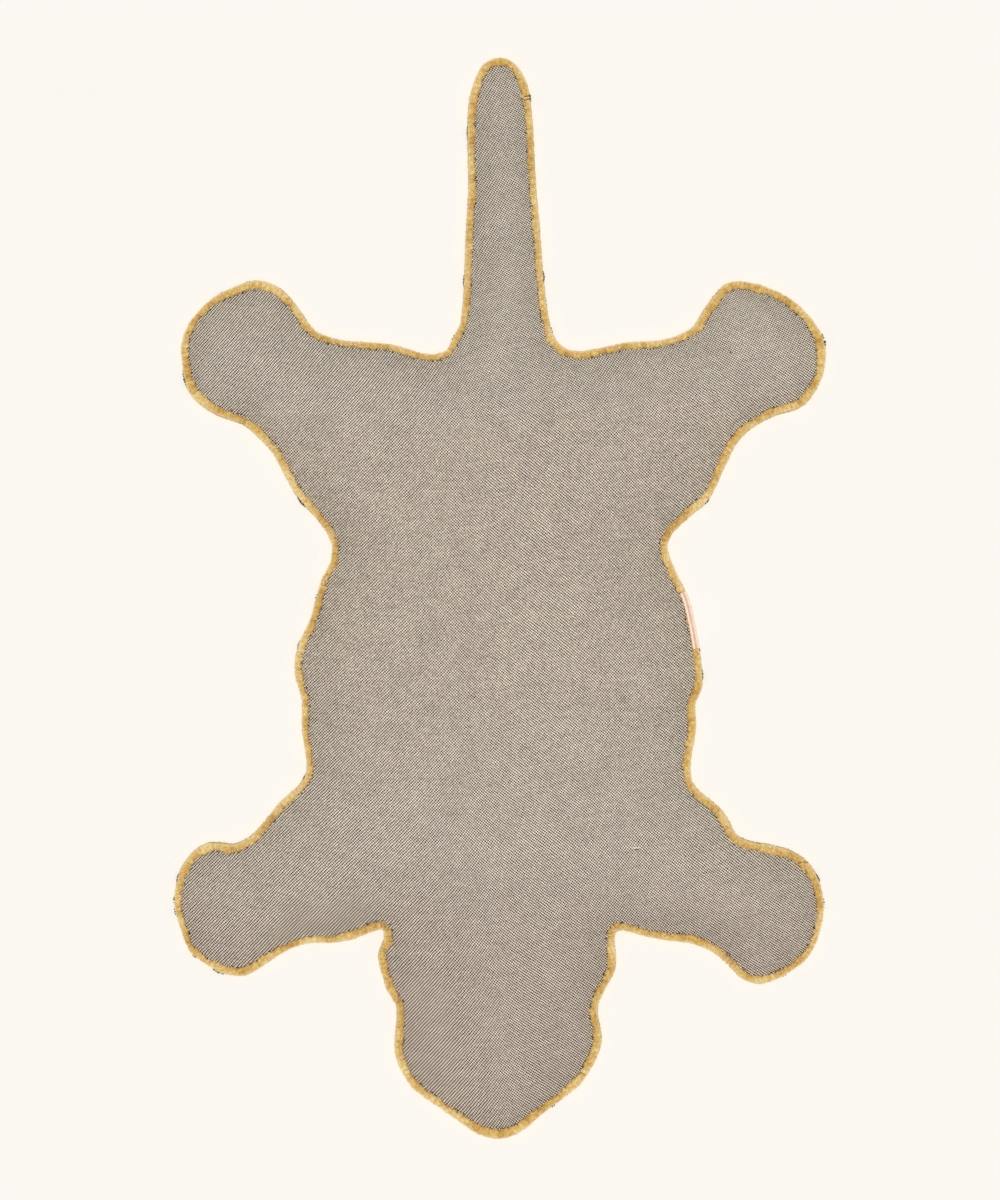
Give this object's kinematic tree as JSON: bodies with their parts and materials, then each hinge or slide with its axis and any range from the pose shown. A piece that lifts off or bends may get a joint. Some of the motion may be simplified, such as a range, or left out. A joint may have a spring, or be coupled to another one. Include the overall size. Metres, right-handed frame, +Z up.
{
  "type": "animal shaped kids rug",
  "caption": "Flat tufted children's rug cut to the outline of a spread animal hide, lying pile side down, with its backing cloth, whipped yarn edge and a bare label in view.",
  "frame": {"origin": "middle of the rug's outer box, on the surface that the rug lies on", "axes": "+Z up, out of the backing cloth; +Y from head to tail; +X to the right in plan with the tail at the top"},
  "size_m": [0.904, 1.5, 0.0139],
  "materials": {
    "pile": "mustard tufted wool pile, matt",
    "backing": "greige plain weave of ecru and grey-brown threads, matt",
    "whipping": "mustard wool yarn, slightly fuzzy",
    "label": "pale pinkish white woven ribbon, faint sheen"
  },
  "bodies": {
    "root": {"tufted_pile": "pile", "backing_cloth": "backing", "edge_whipping": "whipping", "sewn_label": "label"}
  },
  "joints": []
}
